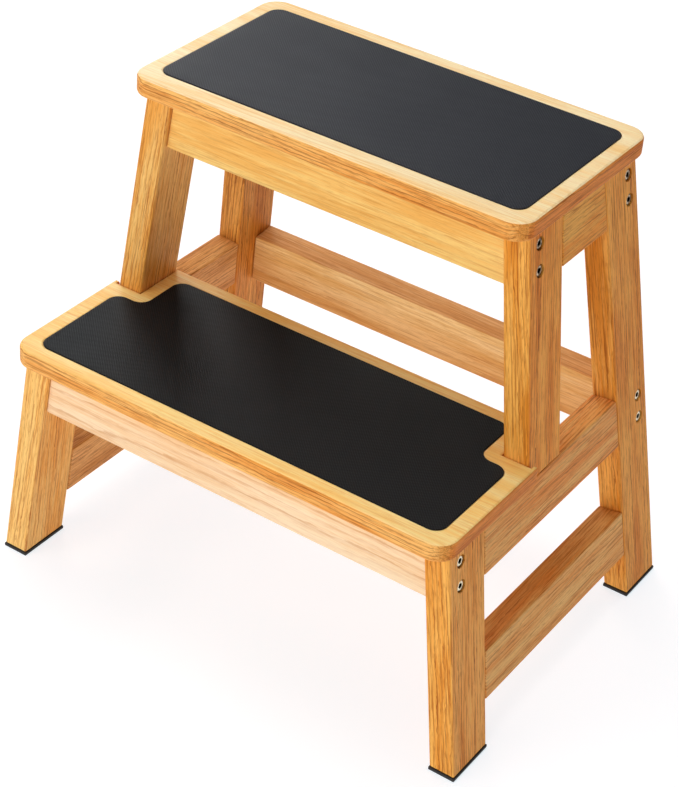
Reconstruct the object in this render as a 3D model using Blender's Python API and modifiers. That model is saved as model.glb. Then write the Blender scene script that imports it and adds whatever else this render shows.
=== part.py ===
"""Two-step wooden step stool.

Two splayed side frames, each of three legs and three rails, are joined by four bolted cross
boards and carry two treads with inlaid anti-slip mats. Metres, +Z up, +X is the stool's right
and -Y its front. The origin is on the floor under the middle of the stool.
"""

import math

import bmesh
import bpy
from mathutils import Matrix, Vector

# Heights of the two standing surfaces, and the treads that make them.
TOP_LEVEL = 0.400
LOWER_LEVEL = 0.208
TREAD_THICKNESS = 0.0145
TOP_TREAD_WIDTH = 0.329
TOP_TREAD_DEPTH = 0.178
LOWER_TREAD_WIDTH = 0.379
LOWER_TREAD_DEPTH = 0.1645
TREAD_LIP = 0.0035  # how far the lower tread runs on beside the middle legs
TREAD_CORNER = 0.016
TREAD_EDGE = 0.002
FRONT = -0.16135  # front edge of the lower tread
RUN = 0.101  # from there back to the front edge of the top tread

# The side frames lean inwards, and their rear legs are raked backwards as well.
FLOOR_HALF_WIDTH = 0.2117  # outer face of a frame where it meets the floor
SPLAY = math.radians(7.7)
RAKE = math.radians(8.05)
FRONT_LEG_FACE = FRONT + 0.0135
MIDDLE_LEG_FACE = FRONT + 0.1185
REAR_LEG_FACE = FRONT + 0.2222  # at the top tread's underside

# Board sections.
BOARD = 0.0205  # thickness of every leg, rail and cross board
LEG_WIDTH = 0.045
RAIL_HEIGHT = 0.0435
CROSS_HEIGHT = 0.0465
EDGE_RADIUS = 0.0012
ROUGH_LENGTH = 1.0  # boards start this long and are sawn to fit

# Outer lower edges of the rails.
TOP_RAIL_LOW = 0.3424
LOWER_RAIL_LOW = 0.1511
STRETCHER_LOW = 0.0433

# Cross boards stand back from the legs' faces.
APRON_SETBACK = 0.004
REAR_SETBACK = 0.0014
REAR_STRETCHER_TOP = 0.1902

# Stub tenons, which join the rails to the legs.
TENON_THICKNESS = 0.009
TENON_HEIGHT = 0.024
TENON_DEPTH = 0.012

# Anti-slip mats in their pockets.
MAT_THICKNESS = 0.0014
POCKET_DEPTH = 0.0012
MAT_CORNER = 0.010
MAT_EDGE = 0.0004
POCKET_RIM_WIDTH = 0.0010  # the pockets' rims are eased to a shallow slope
POCKET_RIM_DEPTH = 0.0004
TOP_MAT_END_MARGIN = 0.0130
TOP_MAT_FRONT_MARGIN = 0.0175
TOP_MAT_BACK_MARGIN = 0.0145
LOWER_MAT_MARGIN = 0.0139
LOWER_MAT_BACK_MARGIN = 0.0126

# Foot pads.
PAD_THICKNESS = 0.0027
PAD_OVERHANG = 0.0006
PAD_EDGE = 0.0005

# Connector bolts and the barrel nuts that they screw into.
BOLT_DROP = 0.0120  # upper bolt below a tread's underside
BOLT_PITCH = 0.0203
BOLT_HEAD_RADIUS = 0.0044
BOLT_HEAD_HEIGHT = 0.0035
BOLT_HEAD_EDGE = 0.0005
BOLT_RECESS = 0.0010
BOLT_COUNTERBORE_GAP = 0.0008
BOLT_RADIUS = 0.003
BOLT_LENGTH = 0.048
SOCKET_ACROSS_FLATS = 0.004
SOCKET_DEPTH = 0.0026
NUT_RADIUS = 0.005
NUT_LENGTH = 0.014
NUT_SLOT_WIDTH = 0.0012
NUT_SLOT_DEPTH = 0.0018
NUT_INSET = 0.047  # nut's axis, measured in from the frame's outer face

# Wood screws that hold the treads down.
SCREW_RADIUS = 0.002
SCREW_HEAD_RADIUS = 0.004
SCREW_HEAD_HEIGHT = 0.0028
SCREW_LENGTH = 0.035
SCREW_TIP = 0.005
SCREW_COUNTERBORE = 0.020
RECESS_WIDTH = 0.0010
RECESS_LENGTH = 0.0048
RECESS_DEPTH = 0.0018

CLEARANCE = 0.0003  # between touching pieces
OVERRUN = 0.002  # a cutter runs this far past the surface that it opens
CORNER_SEGMENTS = 10
EDGE_SEGMENTS = 2
ROUND_STEPS = 16
BORE_STEPS = 12
SMOOTH_BELOW = math.radians(38)
MERGE_WITHIN = 1e-5

SIDES = (("left", -1), ("right", 1))

# Colour, roughness and metallic value of each finish.
TREAD_WOOD = ((0.83, 0.60, 0.33), 0.42, 0.0)
FRONT_WOOD = ((0.78, 0.45, 0.17), 0.45, 0.0)
CROSS_WOOD = ((0.80, 0.56, 0.30), 0.45, 0.0)
SIDE_WOOD = ((0.62, 0.37, 0.18), 0.47, 0.0)
MAT_RUBBER = ((0.025, 0.026, 0.030), 0.72, 0.0)
PAD_RUBBER = ((0.015, 0.014, 0.014), 0.80, 0.0)
BOLT_STEEL = ((0.74, 0.70, 0.60), 0.28, 1.0)
NUT_STEEL = ((0.66, 0.65, 0.62), 0.35, 1.0)
SCREW_STEEL = ((0.60, 0.60, 0.60), 0.38, 1.0)


def new_collection(name):
    collection = bpy.data.collections.new(name)
    bpy.context.scene.collection.children.link(collection)
    return collection


def new_material(name, finish):
    colour, roughness, metallic = finish
    material = bpy.data.materials.new(name)
    material.use_nodes = True
    shader = material.node_tree.nodes["Principled BSDF"]
    shader.inputs["Base Color"].default_value = (*colour, 1.0)
    shader.inputs["Roughness"].default_value = roughness
    shader.inputs["Metallic"].default_value = metallic
    material.diffuse_color = (*colour, 1.0)
    return material


def finished_mesh(bm, name):
    mesh = bpy.data.meshes.new(name)
    bmesh.ops.recalc_face_normals(bm, faces=bm.faces)
    bm.to_mesh(mesh)
    bm.free()
    mesh.shade_smooth()
    mesh.set_sharp_from_angle(angle=SMOOTH_BELOW)
    return mesh


def add_part(name, mesh, world, material, parent=None):
    """A piece of the stool. A parent is an empty, and the piece keeps its place in the world."""
    if not mesh.materials:
        mesh.materials.append(material)
    part = bpy.data.objects.new(name, mesh)
    PARTS.objects.link(part)
    if parent:
        part.parent = parent
        part.matrix_local = parent.matrix_basis.inverted() @ world
    else:
        part.matrix_basis = world
    return part


def add_cutter(name, mesh, world):
    """A shape that only cuts or extends other pieces, and isn't a piece itself."""
    cutter = bpy.data.objects.new(name, mesh)
    CUTTERS.objects.link(cutter)
    cutter.matrix_basis = world
    cutter.hide_render = True
    cutter.display_type = "WIRE"
    return cutter


def combine(target, other, operation):
    modifier = target.modifiers.new(f"{operation.lower()} {other.name}", "BOOLEAN")
    modifier.operation = operation
    modifier.solver = "EXACT"
    modifier.object = other


def cut(target, cutter):
    combine(target, cutter, "DIFFERENCE")


# ---- sawing planes, each a point and the normal of the side that falls away ----


def above(z):
    return Vector((0, 0, z)), Vector((0, 0, 1))


def below(z):
    return Vector((0, 0, z)), Vector((0, 0, -1))


def ahead(y):
    return Vector((0, y, 0)), Vector((0, -1, 0))


def behind(y):
    return Vector((0, y, 0)), Vector((0, 1, 0))


def plane_of(world, point, normal):
    return world @ Vector(point), world.to_3x3() @ Vector(normal)


# ---- basic solids ----


def box(size):
    bm = bmesh.new()
    bmesh.ops.create_cube(bm, size=1.0)
    bmesh.ops.scale(bm, vec=size, verts=bm.verts)
    return bm


def saw(bm, point, normal):
    """Cuts the solid at a plane, drops what lies on the normal's side and closes the cut."""
    geometry = bm.verts[:] + bm.edges[:] + bm.faces[:]
    bmesh.ops.bisect_plane(bm, geom=geometry, plane_co=point, plane_no=normal, clear_outer=True)
    bmesh.ops.holes_fill(bm, edges=[edge for edge in bm.edges if edge.is_boundary])


def round_off(bm, edges, radius, segments):
    bmesh.ops.bevel(
        bm,
        geom=edges,
        offset=radius,
        offset_type="OFFSET",
        segments=segments,
        profile=0.5,
        affect="EDGES",
        clamp_overlap=True,
    )


def sawn_box(size, world, planes):
    bm = box(size)
    to_local = world.inverted()
    for point, normal in planes:
        saw(bm, to_local @ point, to_local.to_3x3() @ normal)
    return bm


def board(name, size, world, planes, finish, parent=None):
    """A wooden board, sawn at planes given in the world and with its edges eased."""
    bm = sawn_box(size, world, planes)
    round_off(bm, bm.edges[:], EDGE_RADIUS, EDGE_SEGMENTS)
    return add_part(name, finished_mesh(bm, name), world, new_material(name, finish), parent)


def plate(outline, corner_radii, z_low, z_high, rim_radius=0.0):
    """A flat plate of that outline, whose corners are rounded and then its upper and lower rims."""
    bm = bmesh.new()
    base = bm.faces.new([bm.verts.new((x, y, z_low)) for x, y in outline])
    raised = bmesh.ops.extrude_face_region(bm, geom=[base])["geom"]
    raised_points = [item for item in raised if isinstance(item, bmesh.types.BMVert)]
    bmesh.ops.translate(bm, verts=raised_points, vec=(0, 0, z_high - z_low))
    for radius in sorted(set(corner_radii) - {0.0}):
        corners = [Vector(point) for point, own in zip(outline, corner_radii) if own == radius]
        uprights = [edge for edge in bm.edges if stands_at(edge, corners)]
        round_off(bm, uprights, radius, CORNER_SEGMENTS)
    if rim_radius:
        rims = [edge for edge in bm.edges if abs(edge.verts[0].co.z - edge.verts[1].co.z) < MERGE_WITHIN]
        round_off(bm, rims, rim_radius, EDGE_SEGMENTS)
    return bm


def stands_at(edge, corners):
    """True for an upright edge over one of these corners of the outline."""
    first, last = (vertex.co.xy for vertex in edge.verts)
    upright = (first - last).length < MERGE_WITHIN
    return upright and any((first - corner).length < MERGE_WITHIN for corner in corners)


def turned_mesh(name, profile, steps, cutters=()):
    """A solid turned round Z from a profile that runs down its outer side, with cutters taken out."""
    outline = bpy.data.meshes.new(name)
    edges = [(i, i + 1) for i in range(len(profile) - 1)]
    outline.from_pydata([(radius, 0, z) for radius, z in profile], edges, [])
    template = add_cutter(f"{name}_template", outline, Matrix.Identity(4))
    turning = template.modifiers.new("turning", "SCREW")
    turning.steps = steps
    turning.render_steps = steps
    turning.use_merge_vertices = True
    turning.merge_threshold = MERGE_WITHIN
    for cutter in cutters:
        cut(template, cutter)
    graph = bpy.context.evaluated_depsgraph_get()
    graph.update()
    mesh = bpy.data.meshes.new_from_object(template.evaluated_get(graph))
    mesh.name = name
    mesh.shade_smooth()
    mesh.set_sharp_from_angle(angle=SMOOTH_BELOW)
    for helper in (template, *cutters):
        bpy.data.objects.remove(helper)
    return mesh


def cylinder_mesh(name, radius, z_low, z_high, steps):
    bm = bmesh.new()
    bmesh.ops.create_cone(
        bm,
        cap_ends=True,
        segments=steps,
        radius1=radius,
        radius2=radius,
        depth=z_high - z_low,
        matrix=Matrix.Translation((0, 0, (z_low + z_high) / 2)),
    )
    return finished_mesh(bm, name)


# ---- side frames ----


def under(level):
    """The underside of the tread whose upper face is at this level."""
    return level - TREAD_THICKNESS


def frame_face(z):
    """How far out the frames' outer faces are at this height."""
    return FLOOR_HALF_WIDTH - z * math.tan(SPLAY)


def frame_matrix(sign):
    """A side frame's own space: X outwards from its outer face, Z up along the splay."""
    return Matrix.Translation((sign * FLOOR_HALF_WIDTH, 0, 0)) @ Matrix.Rotation(-sign * SPLAY, 4, "Y")


def upright_matrix(sign, front_face):
    """The middle of an upright leg's section, on the floor."""
    middle = (-sign * BOARD / 2, front_face + LEG_WIDTH / 2, 0)
    return frame_matrix(sign) @ Matrix.Translation(middle)


def rear_leg_matrix(sign):
    """The middle of the rear leg's section, level with the top tread's underside."""
    reference = (-sign * BOARD / 2, REAR_LEG_FACE, under(TOP_LEVEL) / math.cos(SPLAY))
    middle = Matrix.Translation((0, LEG_WIDTH / 2, 0))
    return frame_matrix(sign) @ Matrix.Translation(reference) @ Matrix.Rotation(RAKE, 4, "X") @ middle


def rail_matrix(sign, outer_low_edge, height):
    middle = (-sign * BOARD / 2, 0, outer_low_edge / math.cos(SPLAY) + height / 2)
    return frame_matrix(sign) @ Matrix.Translation(middle)


def rail(name, side, sign, frame, outer_low_edge, front_leg_back, legs, seat=None):
    """A rail between an upright leg and the raked rear leg, with one tenoned bar through it."""
    world = rail_matrix(sign, outer_low_edge, RAIL_HEIGHT)
    rear_leg = rear_leg_matrix(sign)
    front_leg, back_leg = legs

    def ends(shift):
        back = plane_of(rear_leg, (0, -LEG_WIDTH / 2 + shift, 0), (0, 1, 0))
        return [ahead(front_leg_back - shift), back]

    planes = ends(-CLEARANCE)
    if seat:
        planes.append(above(seat - CLEARANCE))
    full_name = f"{name}_{side}"
    made = board(full_name, (BOARD, ROUGH_LENGTH, RAIL_HEIGHT), world, planes, SIDE_WOOD, frame)

    bar = sawn_box((TENON_THICKNESS, ROUGH_LENGTH, TENON_HEIGHT), world, ends(TENON_DEPTH))
    combine(made, add_cutter(f"{full_name}_tenons", finished_mesh(bar, full_name), world), "UNION")
    slot_size = (TENON_THICKNESS + 2 * CLEARANCE, ROUGH_LENGTH, TENON_HEIGHT + 2 * CLEARANCE)
    slot = sawn_box(slot_size, world, ends(TENON_DEPTH + CLEARANCE))
    mortises = add_cutter(f"{full_name}_mortises", finished_mesh(slot, full_name), world)
    cut(front_leg, mortises)
    cut(back_leg, mortises)
    return made


def join_middle_leg(leg, lower_rail, side, sign):
    """A stub tenon on the middle leg's foot, in a mortise in the top of the rail that it stands on."""
    world = upright_matrix(sign, MIDDLE_LEG_FACE)
    seat = under(LOWER_LEVEL)

    def stub(grow):
        size = (TENON_THICKNESS + 2 * grow, TENON_HEIGHT + 2 * grow, ROUGH_LENGTH)
        planes = [above(seat + 2 * TENON_DEPTH), below(seat - TENON_DEPTH - grow)]
        return sawn_box(size, world, planes)

    name = f"middle_leg_{side}"
    combine(leg, add_cutter(f"{name}_tenon", finished_mesh(stub(0.0), name), world), "UNION")
    cut(lower_rail, add_cutter(f"{name}_mortise", finished_mesh(stub(CLEARANCE), name), world))


def foot_pad(name, leg_world):
    """A thin pad a little larger than the leg's level-cut end above it."""
    direction = leg_world.to_3x3() @ Vector((0, 0, 1))
    centre = leg_world.translation - direction * (leg_world.translation.z - PAD_THICKNESS) / direction.z
    width = BOARD / math.cos(SPLAY) + 2 * PAD_OVERHANG
    depth = LEG_WIDTH / (leg_world.to_3x3() @ Vector((0, 1, 0))).y + 2 * PAD_OVERHANG
    bm = box((width, depth, PAD_THICKNESS))
    round_off(bm, bm.edges[:], PAD_EDGE, EDGE_SEGMENTS)
    world = Matrix.Translation((centre.x, centre.y, PAD_THICKNESS / 2))
    add_part(name, finished_mesh(bm, name), world, new_material(name, PAD_RUBBER))


def side_frame(side, sign):
    """One frame: three legs, three rails and two foot pads. Returns its legs and rails by name."""
    frame = bpy.data.objects.new(f"side_frame_{side}", None)
    PARTS.objects.link(frame)
    frame.matrix_basis = frame_matrix(sign)
    section = (BOARD, LEG_WIDTH, ROUGH_LENGTH)
    foot = below(PAD_THICKNESS + CLEARANCE)
    under_top = above(under(TOP_LEVEL) - CLEARANCE)
    under_lower = above(under(LOWER_LEVEL) - CLEARANCE)
    front_world = upright_matrix(sign, FRONT_LEG_FACE)
    middle_world = upright_matrix(sign, MIDDLE_LEG_FACE)
    rear_world = rear_leg_matrix(sign)

    def leg(name, world, planes):
        return board(f"{name}_{side}", section, world, planes, FRONT_WOOD, frame)

    front = leg("front_leg", front_world, [foot, under_lower])
    middle = leg("middle_leg", middle_world, [below(under(LOWER_LEVEL)), under_top])
    rear = leg("rear_leg", rear_world, [foot, under_top])
    front_back = FRONT_LEG_FACE + LEG_WIDTH
    middle_back = MIDDLE_LEG_FACE + LEG_WIDTH
    place = (side, sign, frame)
    top_rail = rail(
        "top_side_rail", *place, TOP_RAIL_LOW, middle_back, (middle, rear), seat=under(TOP_LEVEL)
    )
    lower_rail = rail(
        "lower_side_rail", *place, LOWER_RAIL_LOW, front_back, (front, rear), seat=under(LOWER_LEVEL)
    )
    rail("bottom_stretcher", *place, STRETCHER_LOW, front_back, (front, rear))
    join_middle_leg(middle, lower_rail, side, sign)
    foot_pad(f"foot_pad_front_{side}", front_world)
    foot_pad(f"foot_pad_rear_{side}", rear_world)
    return {"front": front, "middle": middle, "rear": rear, "top_rail": top_rail, "lower_rail": lower_rail}


# ---- cross boards and their fasteners ----


def bolt_mesh():
    """A connector bolt along Z, its head's outer face at zero and its tip below."""
    tip = -BOLT_HEAD_HEIGHT - BOLT_LENGTH
    profile = [
        (0.0, 0.0),
        (BOLT_HEAD_RADIUS - 2 * BOLT_HEAD_EDGE, 0.0),
        (BOLT_HEAD_RADIUS, -BOLT_HEAD_EDGE),
        (BOLT_HEAD_RADIUS, -BOLT_HEAD_HEIGHT),
        (BOLT_RADIUS, -BOLT_HEAD_HEIGHT),
        (BOLT_RADIUS, tip),
        (0.0, tip),
    ]
    across_corners = SOCKET_ACROSS_FLATS / math.cos(math.pi / 6)
    socket = cylinder_mesh("socket", across_corners / 2, -SOCKET_DEPTH, OVERRUN, 6)
    cutter = add_cutter("socket", socket, Matrix.Identity(4))
    return turned_mesh("connector_bolt", profile, ROUND_STEPS, [cutter])


def bolt_hole_mesh():
    """The counterbore in a leg, and the way of the bolt's shank through the leg."""
    seat = -BOLT_HEAD_HEIGHT - CLEARANCE
    bore_radius = BOLT_HEAD_RADIUS + BOLT_COUNTERBORE_GAP
    profile = [
        (0.0, BOLT_RECESS + OVERRUN),
        (bore_radius, BOLT_RECESS + OVERRUN),
        (bore_radius, seat),
        (BOLT_RADIUS + CLEARANCE, seat),
        (BOLT_RADIUS + CLEARANCE, seat - BOARD - OVERRUN),
        (0.0, seat - BOARD - OVERRUN),
    ]
    return turned_mesh("bolt_hole", profile, ROUND_STEPS)


def nut_mesh():
    """A barrel nut along Z with the bolt's hole along X and a screwdriver slot in its upper end."""
    half = NUT_LENGTH / 2
    profile = [
        (0.0, half),
        (NUT_RADIUS - BOLT_HEAD_EDGE, half),
        (NUT_RADIUS, half - BOLT_HEAD_EDGE),
        (NUT_RADIUS, -half),
        (0.0, -half),
    ]
    sideways = Matrix.Rotation(math.pi / 2, 4, "Y")
    reach = NUT_RADIUS + OVERRUN
    hole = cylinder_mesh("nut_bore", BOLT_RADIUS + CLEARANCE, -reach, reach, BORE_STEPS)
    slot = finished_mesh(box((2 * reach, NUT_SLOT_WIDTH, 2 * NUT_SLOT_DEPTH)), "nut_slot")
    slot_place = Matrix.Translation((0, 0, half))
    cutters = [add_cutter("nut_bore", hole, sideways), add_cutter("nut_slot", slot, slot_place)]
    return turned_mesh("barrel_nut", profile, ROUND_STEPS, cutters)


def fasten(name, cross_board, legs, cross_world, heights, nut_face):
    """Two bolts square to the leg and two barrel nuts at each end of a cross board, in their holes."""
    across = cross_world.to_3x3() @ Vector((0, 1, 0))
    facing = Matrix.Rotation(-nut_face * math.pi / 2, 4, "X")
    for side, sign in SIDES:
        lean = Matrix.Rotation(-sign * SPLAY, 4, "Y")
        outwards = lean @ Matrix.Rotation(sign * math.pi / 2, 4, "Y")
        nut_turn = lean @ cross_world.to_3x3().to_4x4() @ facing
        axis = outwards.to_3x3() @ Vector((0, 0, 1))
        for level, z in zip(("upper", "lower"), heights):
            y = cross_world.translation.y - (z - cross_world.translation.z) * across.z / across.y
            entry = Vector((sign * frame_face(z), y, z))
            bolt_place = Matrix.Translation(entry - axis * BOLT_RECESS) @ outwards
            nut_place = Matrix.Translation(entry - axis * NUT_INSET) @ nut_turn
            label = f"{name}_{side}_{level}"
            hole = add_cutter(f"hole_{label}", MESHES["bolt_hole"], bolt_place)
            pocket = add_cutter(f"nut_pocket_{label}", MESHES["nut_pocket"], nut_place)
            cut(legs[side], hole)
            cut(cross_board, add_cutter(f"bore_{label}", MESHES["bore"], bolt_place))
            cut(cross_board, pocket)
            add_part(f"bolt_{label}", MESHES["bolt"], bolt_place, FASTENERS["bolt"])
            add_part(f"barrel_nut_{label}", MESHES["nut"], nut_place, FASTENERS["nut"])


def cross_board(name, world, height, seat=None):
    """A board from frame to frame, its ends sawn to the splay."""
    planes = []
    for _, sign in SIDES:
        inner_face = (-sign * (BOARD + CLEARANCE), 0, 0)
        planes.append(plane_of(frame_matrix(sign), inner_face, (sign, 0, 0)))
    if seat:
        planes.append(above(seat - CLEARANCE))
    return board(name, (ROUGH_LENGTH, BOARD, height), world, planes, CROSS_WOOD)


def bolt_heights(level):
    upper = under(level) - BOLT_DROP
    return upper, upper - BOLT_PITCH


def legs_of(frames, leg):
    return {side: frames[side][leg] for side, _ in SIDES}


def front_apron(name, frames, leg, leg_face, level):
    seat = under(level)
    middle = (0, leg_face + APRON_SETBACK + BOARD / 2, seat - CROSS_HEIGHT / 2)
    world = Matrix.Translation(middle)
    made = cross_board(name, world, CROSS_HEIGHT, seat)
    fasten(name, made, legs_of(frames, leg), world, bolt_heights(level), nut_face=1)


def rear_board_matrix(middle_height):
    """The middle of a cross board that lies in the rear legs' rake, just inside their back faces."""
    rake = math.atan(math.tan(RAKE) * math.cos(SPLAY))
    drop = under(TOP_LEVEL) - middle_height
    back_of_leg = REAR_LEG_FACE + LEG_WIDTH / math.cos(rake) + drop * math.tan(rake)
    y = back_of_leg - (REAR_SETBACK + BOARD / 2) / math.cos(rake)
    return Matrix.Translation((0, y, middle_height)) @ Matrix.Rotation(rake, 4, "X")


def cross_boards(frames):
    front_apron("top_front_apron", frames, "middle", MIDDLE_LEG_FACE, TOP_LEVEL)
    front_apron("lower_front_apron", frames, "front", FRONT_LEG_FACE, LOWER_LEVEL)
    rear_legs = legs_of(frames, "rear")

    seat = under(TOP_LEVEL)
    world = rear_board_matrix(seat - CROSS_HEIGHT / 2)
    apron = cross_board("top_rear_apron", world, CROSS_HEIGHT + 2 * OVERRUN, seat)
    fasten("top_rear_apron", apron, rear_legs, world, bolt_heights(TOP_LEVEL), nut_face=-1)

    rise = (CROSS_HEIGHT * math.cos(RAKE) + BOARD * math.sin(RAKE)) / 2
    world = rear_board_matrix(REAR_STRETCHER_TOP - rise)
    stretcher = cross_board("rear_stretcher", world, CROSS_HEIGHT)
    fasten("rear_stretcher", stretcher, rear_legs, world, bolt_heights(LOWER_LEVEL), nut_face=1)


# ---- treads and mats ----


def rectangle(half_width, front, back):
    return [(-half_width, front), (half_width, front), (half_width, back), (-half_width, back)]


def mirrored(right):
    """A whole outline from the corners of its right half, in order from its front left corner."""
    half_width, front = right[0]
    return [(-half_width, front), *right, *((-x, y) for x, y in reversed(right[1:]))]


def notched(half_width, front, wing_back, tongue, back):
    """A rectangle whose two back corners are cut away."""
    return mirrored([(half_width, front), (half_width, wing_back), (tongue, wing_back), (tongue, back)])


def grown(outline_of, sizes, grow):
    """The same outline with every side moved outwards: sizes are half widths, fronts and backs."""
    signs = {"half_width": 1, "tongue": 1, "front": -1, "back": 1, "wing_back": 1}
    return outline_of(**{key: value + signs[key] * grow for key, value in sizes.items()})


def flare_upwards(bm, rise, spread):
    """Adds a sloping collar to a plate: its upper rim goes up and outwards."""
    bm.normal_update()
    lid = max(bm.faces, key=lambda face: face.calc_center_median().z)
    outwards = [Vector((*vertex.normal.xy.normalized(), 0.0)) for vertex in lid.verts]
    height = lid.calc_center_median().z
    raised = bmesh.ops.extrude_face_region(bm, geom=[lid])["geom"]
    bm.faces.remove(lid)
    collar = next(item for item in raised if isinstance(item, bmesh.types.BMFace) and len(item.verts) > 4)
    for vertex, direction in zip(collar.verts, outwards):
        vertex.co += direction * spread
        vertex.co.z = height + rise


def tread_and_mat(prefix, level, outline, corners, outline_of, mat_sizes):
    """A tread with its shallow pocket, and the mat that lies in it a little proud."""
    world = Matrix.Translation((0, 0, level))
    bm = plate(outline, corners, -TREAD_THICKNESS, 0.0, TREAD_EDGE)
    name = f"{prefix}_tread"
    tread = add_part(name, finished_mesh(bm, name), world, new_material(name, TREAD_WOOD))
    mat_outline = outline_of(**mat_sizes)
    mat_corners = [MAT_CORNER] * len(mat_outline)
    floor = CLEARANCE - POCKET_DEPTH
    name = f"{prefix}_mat"
    bm = plate(mat_outline, mat_corners, floor, floor + MAT_THICKNESS, MAT_EDGE)
    add_part(name, finished_mesh(bm, name), world, new_material(name, MAT_RUBBER))
    pocket_outline = grown(outline_of, mat_sizes, CLEARANCE)
    bm = plate(pocket_outline, mat_corners, -POCKET_DEPTH, -POCKET_RIM_DEPTH)
    flare_upwards(bm, 2 * POCKET_RIM_DEPTH, 2 * POCKET_RIM_WIDTH)
    cut(tread, add_cutter(f"{prefix}_pocket", finished_mesh(bm, f"{prefix}_pocket"), world))
    return tread


def top_tread():
    half_width = TOP_TREAD_WIDTH / 2
    front = FRONT + RUN
    back = front + TOP_TREAD_DEPTH
    mat_sizes = {
        "half_width": half_width - TOP_MAT_END_MARGIN,
        "front": front + TOP_MAT_FRONT_MARGIN,
        "back": back - TOP_MAT_BACK_MARGIN,
    }
    outline = rectangle(half_width, front, back)
    return tread_and_mat("top", TOP_LEVEL, outline, [TREAD_CORNER] * 4, rectangle, mat_sizes)


def lower_tread():
    """Its two back corners are cut away round the middle legs, and a tongue runs back between them.

    Outside each middle leg it runs on a little way past the leg's front face.
    """
    half_width = LOWER_TREAD_WIDTH / 2
    back = FRONT + LOWER_TREAD_DEPTH
    wing_back = MIDDLE_LEG_FACE - CLEARANCE
    tongue = frame_face(LOWER_LEVEL) - BOARD / math.cos(SPLAY) - CLEARANCE
    beside_leg = frame_face(under(LOWER_LEVEL)) + CLEARANCE
    lip_back = wing_back + TREAD_LIP
    lip = [(half_width, lip_back), (beside_leg, lip_back), (beside_leg, wing_back)]
    outline = mirrored([(half_width, FRONT), *lip, (tongue, wing_back), (tongue, back)])
    corners = [TREAD_CORNER] * 2 + [0.0] * (len(outline) - 2)
    mat_sizes = {
        "half_width": half_width - LOWER_MAT_MARGIN,
        "front": FRONT + LOWER_MAT_MARGIN,
        "wing_back": wing_back - LOWER_MAT_BACK_MARGIN,
        "tongue": tongue - LOWER_MAT_BACK_MARGIN,
        "back": back - LOWER_MAT_BACK_MARGIN,
    }
    return tread_and_mat("lower", LOWER_LEVEL, outline, corners, notched, mat_sizes)


def screw_mesh():
    """A countersunk wood screw that points up, its head's flat face at zero."""
    profile = [
        (0.0, SCREW_LENGTH),
        (SCREW_RADIUS, SCREW_LENGTH - SCREW_TIP),
        (SCREW_RADIUS, SCREW_HEAD_HEIGHT),
        (SCREW_HEAD_RADIUS, CLEARANCE),
        (SCREW_HEAD_RADIUS, 0.0),
        (0.0, 0.0),
    ]
    slot = finished_mesh(box((RECESS_LENGTH, RECESS_WIDTH, 2 * RECESS_DEPTH)), "recess")
    turns = (Matrix.Identity(4), Matrix.Rotation(math.pi / 2, 4, "Z"))
    cutters = [add_cutter(f"recess_{i}", slot, turn) for i, turn in enumerate(turns)]
    return turned_mesh("tread_screw", profile, ROUND_STEPS, cutters)


def screw_hole_mesh():
    """The counterbore and the pilot hole of a tread screw."""
    seat = SCREW_HEAD_HEIGHT + CLEARANCE
    profile = [
        (0.0, SCREW_LENGTH + CLEARANCE),
        (SCREW_RADIUS + CLEARANCE, SCREW_LENGTH + CLEARANCE),
        (SCREW_RADIUS + CLEARANCE, seat),
        (SCREW_HEAD_RADIUS + 2 * CLEARANCE, CLEARANCE),
        (SCREW_HEAD_RADIUS + 2 * CLEARANCE, -SCREW_COUNTERBORE - 2 * OVERRUN),
        (0.0, -SCREW_COUNTERBORE - 2 * OVERRUN),
    ]
    return turned_mesh("screw_hole", profile, ROUND_STEPS)


def screw_down(prefix, tread, rails, rail_low, y):
    for side, sign in SIDES:
        height = rail_low / math.cos(SPLAY) + SCREW_COUNTERBORE
        world = frame_matrix(sign) @ Matrix.Translation((-sign * BOARD / 2, y, height))
        hole = add_cutter(f"screw_hole_{prefix}_{side}", MESHES["screw_hole"], world)
        cut(rails[side], hole)
        cut(tread, hole)
        add_part(f"tread_screw_{prefix}_{side}", MESHES["screw"], world, FASTENERS["screw"])


def step_stool():
    frames = {side: side_frame(side, sign) for side, sign in SIDES}
    cross_boards(frames)
    between_top_legs = MIDDLE_LEG_FACE + LEG_WIDTH + (REAR_LEG_FACE - MIDDLE_LEG_FACE - LEG_WIDTH) / 2
    screw_down("top", top_tread(), legs_of(frames, "top_rail"), TOP_RAIL_LOW, between_top_legs)
    before_middle_leg = (FRONT_LEG_FACE + LEG_WIDTH + MIDDLE_LEG_FACE) / 2
    screw_down("lower", lower_tread(), legs_of(frames, "lower_rail"), LOWER_RAIL_LOW, before_middle_leg)


for leftover in list(bpy.data.objects):
    bpy.data.objects.remove(leftover)
PARTS = new_collection("step_stool")
CUTTERS = new_collection("cutters")
FASTENERS = {
    "bolt": new_material("bolt", BOLT_STEEL),
    "nut": new_material("barrel_nut", NUT_STEEL),
    "screw": new_material("tread_screw", SCREW_STEEL),
}
NUT_POCKET_REACH = BOARD / 2 + OVERRUN
MESHES = {
    "bolt": bolt_mesh(),
    "bolt_hole": bolt_hole_mesh(),
    "bore": cylinder_mesh(
        "bore", BOLT_RADIUS + CLEARANCE, -BOLT_HEAD_HEIGHT - BOLT_LENGTH - OVERRUN, 0.0, BORE_STEPS
    ),
    "nut": nut_mesh(),
    "nut_pocket": cylinder_mesh(
        "nut_pocket", NUT_RADIUS + CLEARANCE, -NUT_LENGTH / 2 - CLEARANCE, NUT_POCKET_REACH, ROUND_STEPS
    ),
    "screw": screw_mesh(),
    "screw_hole": screw_hole_mesh(),
}
step_stool()
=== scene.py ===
"""Looks of the two-step wooden stool: solid procedural wood for each board, textured rubber mats,
plated bolts, a white floor and soft studio light. Metres, +Z up, the steps face -Y."""

import math

import bpy
from mathutils import Matrix, Vector


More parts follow.
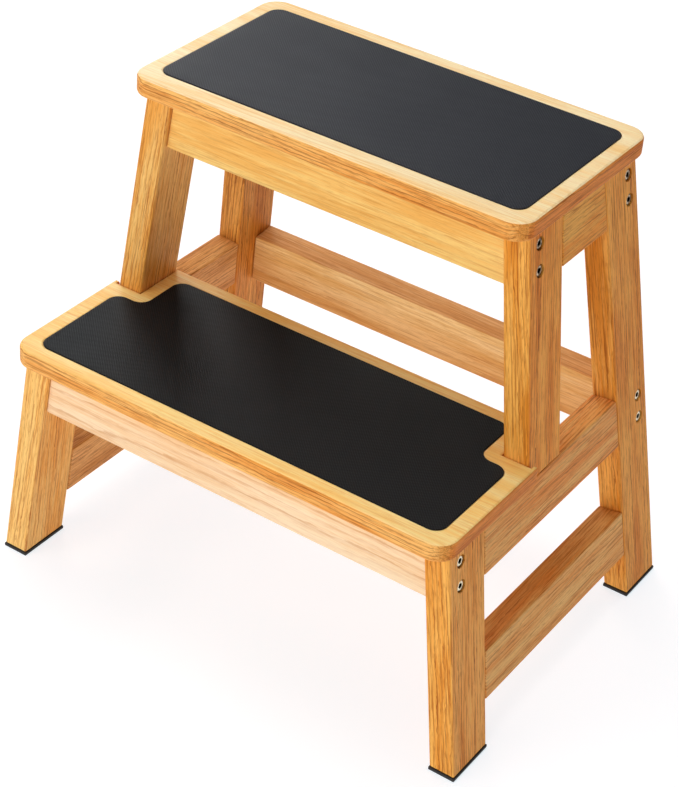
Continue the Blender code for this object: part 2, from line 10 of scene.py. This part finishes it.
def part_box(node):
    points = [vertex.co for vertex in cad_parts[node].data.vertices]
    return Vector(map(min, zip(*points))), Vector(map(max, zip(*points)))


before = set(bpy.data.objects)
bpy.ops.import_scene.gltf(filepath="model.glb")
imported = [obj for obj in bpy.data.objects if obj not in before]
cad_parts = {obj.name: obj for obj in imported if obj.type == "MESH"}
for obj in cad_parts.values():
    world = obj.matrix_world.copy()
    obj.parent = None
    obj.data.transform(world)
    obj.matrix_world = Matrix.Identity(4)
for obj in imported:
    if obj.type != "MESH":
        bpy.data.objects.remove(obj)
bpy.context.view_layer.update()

SPLAY = math.radians(7.7)  # lean of the side frames
RAKE = math.radians(8.05)  # lean of the rear legs
MILLIMETRE = 0.001
BOLT_HEAD_RADIUS = 0.0044
BOLT_FACE_RADIUS = 0.0034  # the flat part of a bolt's head, inside its eased edge
FACING = (0.45, 0.80)  # a face starts to count, and counts in full, from these parts of its normal
WHITE = (1.0, 1.0, 1.0)

# ---- nodes ----


class Tree:
    """Short ways to add shader nodes to a tree and wire them together."""

    def __init__(self, tree):
        self.tree = tree

    def add(self, kind, **settings):
        node = self.tree.nodes.new(kind)
        for key, value in settings.items():
            setattr(node, key, value)
        return node

    def feed(self, socket, value):
        if isinstance(value, bpy.types.NodeSocket):
            self.tree.links.new(value, socket)
        else:
            socket.default_value = value

    def math(self, operation, *values, clamp=False):
        node = self.add("ShaderNodeMath", operation=operation, use_clamp=clamp)
        for socket, value in zip(node.inputs, values):
            self.feed(socket, value)
        return node.outputs[0]

    def vector(self, operation, *values):
        node = self.add("ShaderNodeVectorMath", operation=operation)
        for socket, value in zip(node.inputs, values):
            self.feed(socket, value)
        return node.outputs["Value" if operation in ("LENGTH", "DOT_PRODUCT") else "Vector"]

    def noise(self, position, scale=1.0, detail=2.0, roughness=0.5):
        node = self.add("ShaderNodeTexNoise", noise_dimensions="3D")
        self.feed(node.inputs["Vector"], position)
        self.feed(node.inputs["Scale"], scale)
        self.feed(node.inputs["Detail"], detail)
        self.feed(node.inputs["Roughness"], roughness)
        return node.outputs["Fac"]

    def stretch(self, value, low, high, to_low=0.0, to_high=1.0):
        """Maps low..high smoothly to to_low..to_high, and holds it there beyond."""
        node = self.add("ShaderNodeMapRange", interpolation_type="SMOOTHSTEP")
        for socket, item in zip(node.inputs, (value, low, high, to_low, to_high)):
            self.feed(socket, item)
        return node.outputs[0]

    def mix(self, factor, first, second, blend="MIX"):
        node = self.add("ShaderNodeMix", data_type="RGBA", blend_type=blend)
        self.feed(node.inputs[0], factor)
        self.feed(node.inputs[6], first)
        self.feed(node.inputs[7], second)
        return node.outputs[2]

    def split(self, vector):
        node = self.add("ShaderNodeSeparateXYZ")
        self.feed(node.inputs[0], vector)
        return node.outputs

    def place(self):
        """The place in the room, in metres."""
        return self.add("ShaderNodeTexCoord").outputs["Object"]

    def facing(self, axis):
        """This part of the face's normal."""
        return self.split(self.add("ShaderNodeNewGeometry").outputs["Normal"])[axis]

    def turned_to(self, axis, least=FACING[0], most=FACING[1]):
        """1 on faces square to this axis, 0 on the others."""
        return self.stretch(self.math("ABSOLUTE", self.facing(axis)), least, most)

    def tinted(self, factor, colour, tint):
        return self.mix(factor, colour, self.mix(1.0, colour, tint, blend="MULTIPLY"))

    def bumped(self, shader, height, strength, depth):
        """Raises a shader's surface by this height."""
        node = self.add("ShaderNodeBump")
        self.feed(node.inputs["Strength"], strength)
        self.feed(node.inputs["Distance"], depth)
        self.feed(node.inputs["Height"], height)
        self.feed(shader.inputs["Normal"], node.outputs["Normal"])

    def curve(self, value, stops):
        """A grey ramp through (position, brightness) stops."""
        node = self.add("ShaderNodeValToRGB")
        elements = node.color_ramp.elements
        while len(elements) < len(stops):
            elements.new(0.5)
        for element, (position, brightness) in zip(elements, stops):
            element.position = position
            element.color = (brightness, brightness, brightness, 1.0)
        self.feed(node.inputs[0], value)
        return node.outputs[0]


def opaque(colour):
    return (*colour, 1.0)


def linear(red, green, blue):
    """A display colour, 0 to 255, as the linear colour that shaders take, by the sRGB curve."""
    parts = [channel / 255 for channel in (red, green, blue)]
    return opaque(part / 12.92 if part <= 0.04045 else ((part + 0.055) / 1.055) ** 2.4 for part in parts)


def new_material(name):
    material = bpy.data.materials.new(name)
    material.use_nodes = True
    tree = Tree(material.node_tree)
    shader = material.node_tree.nodes["Principled BSDF"]
    return material, tree, shader


def dress(node, material):
    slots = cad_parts[node].material_slots
    for slot in slots:
        slot.material = material
    if not slots:
        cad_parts[node].data.materials.append(material)


# ---- wood ----

# How dark a growth ring is, from the start of its year to the end.
LATE_WOOD = ((0.0, 0.02), (0.55, 0.10), (0.76, 0.62), (0.86, 1.0), (0.94, 0.75), (0.98, 0.05))
# Sizes of what the grain is made of: millimetres along it and across it.
SWAY_SIZE = (240, 50)
RIPPLE_SIZE = (26, 5)
SHIVER_SIZE = (8, 1.8)
BREAK_SIZE = (35, 1.6)
FIBRE_SIZE = (40, 1.3)
PATCH_SIZE = (150, 14)
STREAK_SIZE = (60, 1.2)
DASH_SIZE = (9.0, 0.60)
RIPPLE_REACH = 2.8  # millimetres by which it bends the rings
SHIVER_REACH = 1.5
WOOD_RELIEF = 0.25 * MILLIMETRE
VARNISH_ROUGHNESS = (0.62, 0.50)  # in the pores and on the smooth wood
VARNISH_SPECULAR = 0.12
COAT_ROUGHNESS = 0.34


def wood_group():
    """Solid wood in millimetres: X along the grain, Y across the board's face, Z through it."""
    group = bpy.data.node_groups.new("solid_wood", "ShaderNodeTree")
    inputs = (
        ("Position", "NodeSocketVector", None),
        ("Pith", "NodeSocketVector", None),
        ("Shift", "NodeSocketVector", None),
        ("Ring spacing", "NodeSocketFloat", 3.5),
        ("Sway", "NodeSocketFloat", 8.0),
        ("Ring strength", "NodeSocketFloat", 0.6),
        ("Fibre strength", "NodeSocketFloat", 0.5),
        ("Pale", "NodeSocketColor", None),
        ("Deep", "NodeSocketColor", None),
        ("Line", "NodeSocketColor", None),
    )
    for name, kind, value in inputs:
        socket = group.interface.new_socket(name, in_out="INPUT", socket_type=kind)
        if value is not None:
            socket.default_value = value
    group.interface.new_socket("Color", in_out="OUTPUT", socket_type="NodeSocketColor")
    group.interface.new_socket("Height", in_out="OUTPUT", socket_type="NodeSocketFloat")

    tree = Tree(group)
    given = tree.add("NodeGroupInput").outputs
    place = tree.vector("ADD", given["Position"], given["Shift"])

    def grain(along, across, **settings):
        """Noise whose features are this long along the grain and this wide across it."""
        return tree.noise(tree.vector("MULTIPLY", place, (1 / along, 1 / across, 1 / across)), **settings)

    from_pith = tree.vector("SUBTRACT", given["Position"], given["Pith"])
    radius = tree.vector("LENGTH", tree.vector("MULTIPLY", from_pith, (0.0, 1.0, 1.0)))

    def waver(noise, reach):
        """The noise, made to swing by this many millimetres about nothing."""
        return tree.math("MULTIPLY", tree.math("SUBTRACT", noise, 0.5), reach)

    sway = waver(grain(*SWAY_SIZE), given["Sway"])
    ripple = waver(grain(*RIPPLE_SIZE), RIPPLE_REACH)
    shiver = waver(grain(*SHIVER_SIZE), SHIVER_REACH)
    wander = tree.math("ADD", tree.math("ADD", radius, sway), tree.math("ADD", ripple, shiver))
    turns = tree.math("DIVIDE", wander, given["Ring spacing"])
    age = tree.math("FRACT", turns)
    late_wood = tree.curve(age, LATE_WOOD)
    ring = tree.add("ShaderNodeTexWhiteNoise", noise_dimensions="1D")
    tree.feed(ring.inputs["W"], tree.math("FLOOR", turns))
    ring_weight = tree.stretch(ring.outputs["Value"], 0.0, 1.0, 0.30, 1.0)
    broken = tree.stretch(grain(*BREAK_SIZE), 0.35, 0.62, 0.40, 1.0)
    line = tree.math("MULTIPLY", tree.math("MULTIPLY", late_wood, ring_weight), broken)

    fibre = grain(*FIBRE_SIZE, detail=3.0, roughness=0.6)
    patch = grain(*PATCH_SIZE)
    tone = tree.math("ADD", tree.math("MULTIPLY", fibre, 0.6), tree.math("MULTIPLY", patch, 0.8))
    body = tree.mix(tree.stretch(tone, 0.54, 0.86), given["Pale"], given["Deep"])
    lined = tree.mix(tree.math("MULTIPLY", line, given["Ring strength"], clamp=True), body, given["Line"])
    streaks = tree.stretch(grain(*STREAK_SIZE, detail=2.0, roughness=0.6), 0.52, 0.68)
    dashes = tree.stretch(grain(*DASH_SIZE, detail=1.0), 0.55, 0.70)
    pores = tree.math("MAXIMUM", streaks, tree.math("MULTIPLY", dashes, 0.7))
    pore_share = tree.math("MULTIPLY", pores, given["Fibre strength"], clamp=True)
    coloured = tree.mix(pore_share, lined, given["Line"])

    result = tree.add("NodeGroupOutput")
    tree.feed(result.inputs["Color"], coloured)
    grooves = tree.math("ADD", tree.math("MULTIPLY", pores, -0.7), tree.math("MULTIPLY", fibre, 0.5))
    tree.feed(result.inputs["Height"], tree.math("SUBTRACT", grooves, tree.math("MULTIPLY", line, 0.4)))
    return group


WOOD = wood_group()
SEED_STEP = (317.0, 41.0, 23.0)  # millimetres from one board's wood to the next one's


def board_space(node, along, through, tilt):
    """The place and turn of a board: grain along one direction and its thickness through another.

    The grain is tilted off those by a few degrees.
    """
    low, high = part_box(node)
    x_axis = Vector(along).normalized()
    z_axis = Vector(through)
    z_axis = (z_axis - z_axis.project(x_axis)).normalized()
    turn = Matrix((x_axis, z_axis.cross(x_axis), z_axis)).transposed()
    lean = Matrix.Rotation(math.radians(tilt[0]), 3, "Y") @ Matrix.Rotation(math.radians(tilt[1]), 3, "Z")
    return (low + high) / 2, (turn @ lean).to_euler()


def grown_wood(tree, space, look, seed):
    """Solid wood in a board's own space. It gives the wood's colour and height."""
    middle, turn = space
    place = tree.add("ShaderNodeMapping", vector_type="TEXTURE")
    tree.feed(place.inputs["Vector"], tree.place())
    tree.feed(place.inputs["Location"], middle)
    tree.feed(place.inputs["Rotation"], turn)
    tree.feed(place.inputs["Scale"], (MILLIMETRE,) * 3)
    group = tree.add("ShaderNodeGroup", node_tree=WOOD)
    tree.feed(group.inputs["Position"], place.outputs["Vector"])
    tree.feed(group.inputs["Pith"], (0.0, *look["pith"]))
    tree.feed(group.inputs["Shift"], tuple(seed * step for step in SEED_STEP))
    for name in ("Ring spacing", "Sway", "Ring strength", "Fibre strength", "Pale", "Deep", "Line"):
        tree.feed(group.inputs[name], look[name])
    return group.outputs["Color"], group.outputs["Height"]


def varnish(tree, shader, height, coat=0.0):
    """Thin satin varnish over open grain."""
    tree.bumped(shader, height, 0.35, WOOD_RELIEF)
    tree.feed(shader.inputs["Roughness"], tree.stretch(height, -0.6, 0.4, *VARNISH_ROUGHNESS))
    shader.inputs["Specular IOR Level"].default_value = VARNISH_SPECULAR
    tree.feed(shader.inputs["Coat Weight"], coat)
    shader.inputs["Coat Roughness"].default_value = COAT_ROUGHNESS


def wood_look(pale, deep, line, pith, spacing, sway, rings, fibres):
    """What the wood of a board is like. The pith and the rings' spacing and sway are in millimetres."""
    return {
        "Pale": linear(*pale),
        "Deep": linear(*deep),
        "Line": linear(*line),
        "pith": pith,
        "Ring spacing": spacing,
        "Sway": sway,
        "Ring strength": rings,
        "Fibre strength": fibres,
    }


def painted_front_gradient(tree, node, colour, below, above):
    """Paints shade and light on the face towards the front, from one tint at the board's foot to another at
    its top.
    """
    low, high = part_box(node)
    fade = tree.mix(tree.stretch(tree.split(tree.place())["Z"], low.z, high.z), opaque(below), opaque(above))
    on_front = tree.stretch(tree.facing("Y"), -FACING[1], -FACING[0], 1.0, 0.0)
    return tree.tinted(on_front, colour, fade)


def wooden(node, space, look, seed, painted_side_light=None, top_tint=None, painted_front_shading=None):
    """A board of solid wood. The tints are painted light and shade: on the wide face towards +X, on the edge
    that looks upwards, and fading up the face towards the front.
    """
    material, tree, shader = new_material(f"wood_{node}")
    colour, height = grown_wood(tree, space, look, seed)
    # Painted light and shade on the face towards +X, painted shade on the edge that looks upwards.
    for axis, tint in (("X", painted_side_light), ("Z", top_tint)):
        if tint:
            colour = tree.tinted(tree.stretch(tree.facing(axis), *FACING), colour, opaque(tint))
    # Painted shade and light up the face towards the front.
    if painted_front_shading:
        colour = painted_front_gradient(tree, node, colour, *painted_front_shading)
    tree.feed(shader.inputs["Base Color"], colour)
    varnish(tree, shader, height)
    dress(node, material)


def blend_heights(tree, factor, first, second):
    node = tree.add("ShaderNodeMix", data_type="FLOAT")
    for socket, value in zip((node.inputs[0], node.inputs[2], node.inputs[3]), (factor, first, second)):
        tree.feed(socket, value)
    return node.outputs[0]


def wooden_tread(node, along, through, looks, seed):
    """A tread with a pale face and a banded rim, whose grain runs along each side."""
    material, tree, shader = new_material(f"wood_{node}")
    face_look, edge_look, end_look = looks
    tilt = (0.4, 0.6)
    lengthwise = board_space(node, along, through, tilt)
    crosswise = board_space(node, through.cross(along), through, tilt)
    face, face_height = grown_wood(tree, lengthwise, face_look, seed)
    edge, edge_height = grown_wood(tree, lengthwise, edge_look, seed + 1)
    end, end_height = grown_wood(tree, crosswise, end_look, seed + 2)
    end = tree.tinted(tree.turned_to("X", 0.80, 0.98), end, opaque(TREAD_END_TINT))
    on_end = tree.turned_to("X")
    on_face = tree.turned_to("Z")
    tree.feed(shader.inputs["Base Color"], tree.mix(on_face, tree.mix(on_end, edge, end), face))
    rim_height = blend_heights(tree, on_end, edge_height, end_height)
    height = blend_heights(tree, on_face, rim_height, face_height)
    varnish(tree, shader, height, tree.math("MULTIPLY", on_face, FACE_COAT))
    dress(node, material)


# The wood's colours: pale, deep and in its lines. A tint multiplies them on one face of a board; those on
# the right legs' sides, the stretchers' tops and the rear stretcher's front are painted light and shade.
LEG = ((255, 188, 92), (232, 146, 46), (152, 64, 0))
LEG_LEFT = ((255, 206, 122), (242, 168, 74), (174, 88, 18))
# The rear left leg's colours are a darker copy of the left legs': painted shade from the top tread above it.
SHADED_REAR_LEFT_LEG = ((238, 168, 80), (212, 130, 42), (130, 58, 6))
# Painted light and shade on the right legs' faces towards +X: lighter and bluer on the front legs, warmer on
# the others.
LEG_SIDE_PAINTED_LIGHT = {
    "front_leg": (1.15, 1.11, 1.24),
    "middle_leg": (1.13, 0.99, 0.79),
    "rear_leg": (1.08, 0.98, 0.82),
}
# Painted shade on the bottom stretchers' top faces, under the lower tread.
STRETCHER_TOP_SHADE = (0.72, 0.67, 0.60)
# Painted shade on the rear stretcher's top, and on its front painted shade at the foot turning to painted
# light at the top.
REAR_STRETCHER_SHADE = {
    "top_tint": (0.80, 0.74, 0.80),
    "painted_front_shading": ((0.87, 0.82, 0.78), (1.04, 1.22, 1.44)),
}
LEFT_RAIL = ((238, 178, 108), (208, 138, 64), (142, 72, 20))
TOP_RAIL = ((255, 190, 90), (250, 154, 50), (168, 70, 4))
LOWER_RAIL = ((255, 196, 116), (248, 156, 70), (174, 84, 22))
BOTTOM_RAIL = ((255, 200, 120), (246, 162, 76), (180, 94, 28))
STRETCHER = ((252, 204, 136), (234, 172, 96), (182, 106, 40))
APRON = ((255, 212, 128), (248, 186, 96), (196, 114, 40))
PALE_APRON = ((254, 225, 187), (246, 204, 156), (206, 138, 82))
TOP_FACE = ((255, 233, 186), (253, 212, 146), (226, 160, 83))
LOWER_FACE = ((255, 226, 153), (254, 202, 112), (226, 148, 66))
TREAD_EDGE = ((255, 194, 110), (238, 156, 68), (158, 78, 20))
TREAD_END = ((248, 178, 90), (228, 148, 62), (152, 74, 20))
TREAD_END_TINT = (0.96, 0.68, 0.40)
FACE_COAT = 0.3  # how much varnish shines on top of a tread's face


def leg_look(colours, seed):
    flip = 1 if seed % 2 else -1
    pith = (66.0 * flip, 62.0 + seed * 3)
    return wood_look(*colours, pith, spacing=2.3, sway=8.0, rings=1.0, fibres=0.62)


def dress_woodwork():
    across = Vector((1, 0, 0))
    backwards = Vector((0, 1, 0))
    upwards = Vector((0, 0, 1))
    sides = (("left", -1, 1, 8), ("right", 1, 4, 12))  # with the first seeds of its legs and rails
    for side, sign, leg_seed, rail_seed in sides:
        on_right = sign > 0
        outwards = Vector((sign * math.cos(SPLAY), 0, math.sin(SPLAY)))
        rising = Vector((-sign * math.sin(SPLAY), 0, math.cos(SPLAY)))
        raked = rising * math.cos(RAKE) - backwards * math.sin(RAKE)
        legs = (("front_leg", rising), ("middle_leg", rising), ("rear_leg", raked))
        for number, (leg, along) in enumerate(legs):
            seed = leg_seed + number
            left_colours = SHADED_REAR_LEFT_LEG if leg == "rear_leg" else LEG_LEFT
            colours = LEG if on_right else left_colours
            tint = LEG_SIDE_PAINTED_LIGHT[leg] if on_right else None
            space = board_space(f"{leg}_{side}", along, outwards, tilt=(0.9, -0.6))
            wooden(f"{leg}_{side}", space, leg_look(colours, seed), seed, tint)
        rails = (
            ("top_side_rail", TOP_RAIL, None),
            ("lower_side_rail", LOWER_RAIL, None),
            ("bottom_stretcher", BOTTOM_RAIL, STRETCHER_TOP_SHADE),
        )
        for number, (rail, right_colours, top_tint) in enumerate(rails):
            colours = right_colours if on_right else LEFT_RAIL
            pith = (60.0, 70.0 + 4 * number)
            look = wood_look(*colours, pith, spacing=2.3, sway=9.0, rings=0.85, fibres=0.60)
            space = board_space(f"{rail}_{side}", backwards, outwards, tilt=(1.2, 0.8))
            wooden(f"{rail}_{side}", space, look, rail_seed + number, top_tint=top_tint)

    raked_back = backwards * math.cos(RAKE) + upwards * math.sin(RAKE)
    apron = wood_look(*APRON, pith=(50.0, 70.0), spacing=2.8, sway=9.0, rings=0.32, fibres=0.34)
    pale = wood_look(*PALE_APRON, pith=(40.0, 40.0), spacing=4.2, sway=12.0, rings=0.62, fibres=0.22)
    stretcher = wood_look(*STRETCHER, pith=(50.0, 70.0), spacing=2.8, sway=10.0, rings=0.45, fibres=0.40)
    cross_boards = (
        ("top_front_apron", backwards, (0.8, 0.5), apron, 20, {}),
        ("lower_front_apron", backwards, (1.6, 0.7), pale, 26, {}),
        ("top_rear_apron", raked_back, (1.0, -0.6), apron, 22, {}),
        ("rear_stretcher", raked_back, (1.2, 0.5), stretcher, 23, REAR_STRETCHER_SHADE),
    )
    for node, through, tilt, look, seed, faces in cross_boards:
        wooden(node, board_space(node, across, through, tilt), look, seed, **faces)

    edge = wood_look(*TREAD_EDGE, pith=(30.0, -190.0), spacing=2.6, sway=5.0, rings=0.90, fibres=0.55)
    end = wood_look(*TREAD_END, pith=(30.0, -190.0), spacing=2.6, sway=5.0, rings=0.90, fibres=0.60)
    for seed, tread, colours in ((30, "top_tread", TOP_FACE), (33, "lower_tread", LOWER_FACE)):
        face = wood_look(*colours, pith=(40.0, -90.0), spacing=3.6, sway=12.0, rings=0.36, fibres=0.38)
        wooden_tread(tread, across, upwards, (face, edge, end), seed)


# ---- rubber and metal ----

DIAMOND_PITCH = 1.7 * MILLIMETRE
MAT_RELIEF = 0.25 * MILLIMETRE
PAD_RELIEF = 0.2 * MILLIMETRE
PAD_COLOURS = ((24, 20, 20), (44, 39, 38))
PAD_ROUGHNESS = 0.7
PALE_PLATING = ((240, 230, 200), (206, 194, 160))
# Darker plating for the top aprons' bolts: a painted dark reflection on the same bolts as the rest.
DARK_REFLECTION_PLATING = ((198, 178, 148), (84, 62, 42))
NUT_PLATING = ((214, 211, 202), (176, 173, 164))
SCREW_PLATING = ((206, 206, 206), (168, 168, 170))
# Painted shade inside a bolt's socket and round the side of its head.
SOCKET_SHADE = (20, 17, 14)
STAIN_ROUGHNESS = 0.14  # what a stain adds


def dress_mat(node, valley, crest, roughness, gloss):
    """Dark rubber with a fine raised diamond pattern."""
    material, tree, shader = new_material(f"rubber_{node}")
    place = tree.place()
    turned = tree.add("ShaderNodeMapping", vector_type="POINT")
    tree.feed(turned.inputs["Vector"], place)
    tree.feed(turned.inputs["Rotation"], (0.0, 0.0, math.radians(45)))
    tree.feed(turned.inputs["Scale"], (math.pi / DIAMOND_PITCH,) * 3)
    parts = tree.split(turned.outputs["Vector"])
    waves = [tree.math("ABSOLUTE", tree.math("SINE", parts[axis])) for axis in "XY"]
    diamonds = tree.math("MULTIPLY", *waves)
    speckle = tree.noise(place, scale=900.0)
    relief = tree.math("ADD", diamonds, tree.math("MULTIPLY", speckle, 0.25))
    tree.bumped(shader, relief, 0.6, MAT_RELIEF)
    wear = tree.stretch(tree.noise(place, scale=22.0, detail=3.0), 0.35, 0.65)
    tree.feed(shader.inputs["Base Color"], tree.mix(diamonds, linear(*valley), linear(*crest)))
    tree.feed(shader.inputs["Roughness"], tree.stretch(wear, 0.0, 1.0, *roughness))
    shader.inputs["Specular IOR Level"].default_value = gloss
    dress(node, material)


def dress_mats():
    # Both mats are the same rubber: the top mat's lighter, bluer colours are a painted sheen, the lower
    # mat's darker colours painted shade.
    dress_mat("top_mat", (15, 16, 19), (56, 58, 66), (0.46, 0.49), 0.17)
    dress_mat("lower_mat", (5, 7, 9), (33, 38, 42), (0.50, 0.53), 0.12)


def dress_pads():
    material, tree, shader = new_material("pad_rubber")
    grit = tree.noise(tree.place(), scale=700.0, detail=3.0)
    tree.bumped(shader, grit, 0.4, PAD_RELIEF)
    tree.feed(shader.inputs["Base Color"], tree.mix(grit, *(linear(*colour) for colour in PAD_COLOURS)))
    shader.inputs["Roughness"].default_value = PAD_ROUGHNESS
    for end in ("front", "rear"):
        for side in ("left", "right"):
            dress(f"foot_pad_{end}_{side}", material)


def plated(name, bright, dull, roughness):
    """Plated steel with faint stains."""
    material, tree, shader = new_material(name)
    stain = tree.stretch(tree.noise(tree.place(), scale=420.0, detail=3.0), 0.3, 0.7)
    colour = tree.mix(stain, linear(*bright), linear(*dull))
    tree.feed(shader.inputs["Base Color"], colour)
    roughness = tree.stretch(stain, 0.0, 1.0, roughness, roughness + STAIN_ROUGHNESS)
    tree.feed(shader.inputs["Roughness"], roughness)
    shader.inputs["Metallic"].default_value = 1.0
    return material, tree, shader, colour


def dress_bolt(node, sign):
    """A plated bolt, with painted shade inside its socket and round the side of its head."""
    # The top aprons' bolts get the darker plating, a painted dark reflection.
    colours = DARK_REFLECTION_PLATING if "_top_" in node else PALE_PLATING
    material, tree, shader, colour = plated(node, *colours, roughness=0.26)
    low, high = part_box(node)
    outwards = Vector((sign * math.cos(SPLAY), 0.0, math.sin(SPLAY)))
    outermost = high.x if sign > 0 else low.x
    crown = Vector((
        outermost - sign * BOLT_FACE_RADIUS * math.sin(SPLAY),
        (low.y + high.y) / 2,
        high.z - BOLT_HEAD_RADIUS * math.cos(SPLAY),
    ))
    above_crown = tree.vector("DOT_PRODUCT", tree.vector("SUBTRACT", tree.place(), crown), outwards)
    # Painted shade below the crown of the head: in the socket and round the head's side.
    below = tree.stretch(above_crown, -0.9 * MILLIMETRE, -0.1 * MILLIMETRE, 1.0, 0.0)
    tree.feed(shader.inputs["Base Color"], tree.mix(below, colour, linear(*SOCKET_SHADE)))
    dress(node, material)


def dress_fasteners():
    nut = plated("nut_plating", *NUT_PLATING, roughness=0.34)[0]
    screw = plated("screw_plating", *SCREW_PLATING, roughness=0.36)[0]
    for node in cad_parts:
        if node.startswith("barrel_nut_"):
            dress(node, nut)
        elif node.startswith("tread_screw_"):
            dress(node, screw)
        elif node.startswith("bolt_"):
            dress_bolt(node, 1 if "_right_" in node else -1)


# ---- studio ----

FLOOR_REACH = 9.0
FLOOR_BASE = (0.50, 0.36, 0.31)
FLOOR_GLOW = (0.65, 0.755, 0.806)
WHITENING = (0.9, 3.0)  # metres from the middle between which the glow turns white
BACKDROP_PROFILE = ((8.9, 0.01), (8.9, 7.0), (0.02, 9.0))
BACKDROP_TURNS = 48
BLACK = (0.0, 0.0, 0.0)
COOL = (0.94, 0.985, 1.0)
SKY_STRENGTH = 0.08
# Soft lights: name, place, aim, size, power and colour.
LIGHTS = (
    ("key", (-1.5, -2.3, 2.3), (0.0, 0.0, 0.22), (1.5, 1.5), 25.0, COOL),
    ("front", (0.1, -3.0, 1.1), (0.0, 0.0, 0.22), (1.6, 1.6), 33.0, COOL),
    ("top", (-0.3, 0.3, 3.0), (0.0, 0.0, 0.2), (2.0, 2.0), 54.0, WHITE),
    ("back_left", (-2.3, 2.0, 1.45), (0.0, 0.0, 0.3), (1.2, 1.0), 26.0, WHITE),
)


def aimed(obj, place, target):
    obj.location = place
    obj.rotation_euler = (Vector(target) - Vector(place)).to_track_quat("-Z", "Y").to_euler()
    bpy.context.scene.collection.objects.link(obj)


def soft_light(name, place, target, size, power, colour):
    light = bpy.data.lights.new(name, "AREA")
    light.shape = "RECTANGLE"
    light.size, light.size_y = size
    light.energy = power
    light.color = colour
    aimed(bpy.data.objects.new(name, light), place, target)


def swept(profile, turns):
    """A surface of revolution about Z through (radius, height) points."""
    points = [
        (radius * math.cos(math.tau * turn / turns), radius * math.sin(math.tau * turn / turns), height)
        for radius, height in profile
        for turn in range(turns)
    ]
    faces = []
    for row in range(len(profile) - 1):
        for turn in range(turns):
            first, second = row * turns + turn, row * turns + (turn + 1) % turns
            faces.append((first, second, second + turns, first + turns))
    return points, faces


def stage_piece(name, points, faces, colour, glow):
    """A matt surface that glows, whiter and whiter away from the middle."""
    mesh = bpy.data.meshes.new(name)
    mesh.from_pydata(points, [], faces)
    mesh.shade_smooth()
    piece = bpy.data.objects.new(name, mesh)
    bpy.context.scene.collection.objects.link(piece)
    material, tree, shader = new_material(name)
    shader.inputs["Base Color"].default_value = opaque(colour)
    shader.inputs["Roughness"].default_value = 0.9
    shader.inputs["Specular IOR Level"].default_value = 0.0
    far = tree.stretch(tree.vector("LENGTH", tree.place()), *WHITENING)
    tree.feed(shader.inputs["Emission Color"], tree.mix(far, opaque(glow), opaque(WHITE)))
    shader.inputs["Emission Strength"].default_value = 1.0
    mesh.materials.append(material)
    return piece


def studio():
    """A white floor, a white backdrop that only the camera sees, and large soft lights.

    The floor's glow makes up for its darker base, so the wood above it tints it less.
    """
    corners = [(x * FLOOR_REACH, y * FLOOR_REACH, 0) for x, y in ((-1, -1), (1, -1), (1, 1), (-1, 1))]
    stage_piece("floor", corners, [(0, 1, 2, 3)], FLOOR_BASE, FLOOR_GLOW)
    backdrop = stage_piece("backdrop", *swept(BACKDROP_PROFILE, BACKDROP_TURNS), BLACK, WHITE)
    backdrop.visible_diffuse = False
    backdrop.visible_glossy = False
    backdrop.visible_shadow = False

    world = bpy.data.worlds.new("studio")
    world.use_nodes = True
    background = world.node_tree.nodes["Background"]
    background.inputs["Color"].default_value = opaque(WHITE)
    background.inputs["Strength"].default_value = SKY_STRENGTH
    bpy.context.scene.world = world
    bpy.context.scene.view_settings.view_transform = "Standard"
    for light in LIGHTS:
        soft_light(*light)


# ---- camera ----

CAMERA_PLACE = Vector((0.6993, -1.1413, 1.0890))
CAMERA_AZIMUTH = math.radians(31.5854)
CAMERA_ELEVATION = math.radians(34.6508)
CAMERA_ROLL = math.radians(4.9222)
CAMERA_LENS = 97.74
CAMERA_SENSOR = 36.0  # along the picture's long side, in millimetres like the lens


def camera():
    lens = bpy.data.cameras.new("camera")
    lens.lens = CAMERA_LENS
    lens.sensor_width = CAMERA_SENSOR
    viewer = bpy.data.objects.new("camera", lens)
    bpy.context.scene.collection.objects.link(viewer)
    turn = Matrix.Rotation(CAMERA_AZIMUTH, 4, "Z")
    turn = turn @ Matrix.Rotation(math.pi / 2 - CAMERA_ELEVATION, 4, "X")
    turn = turn @ Matrix.Rotation(CAMERA_ROLL, 4, "Z")
    viewer.matrix_world = Matrix.Translation(CAMERA_PLACE) @ turn
    bpy.context.scene.camera = viewer


camera()
dress_woodwork()
dress_mats()
dress_pads()
dress_fasteners()
studio()
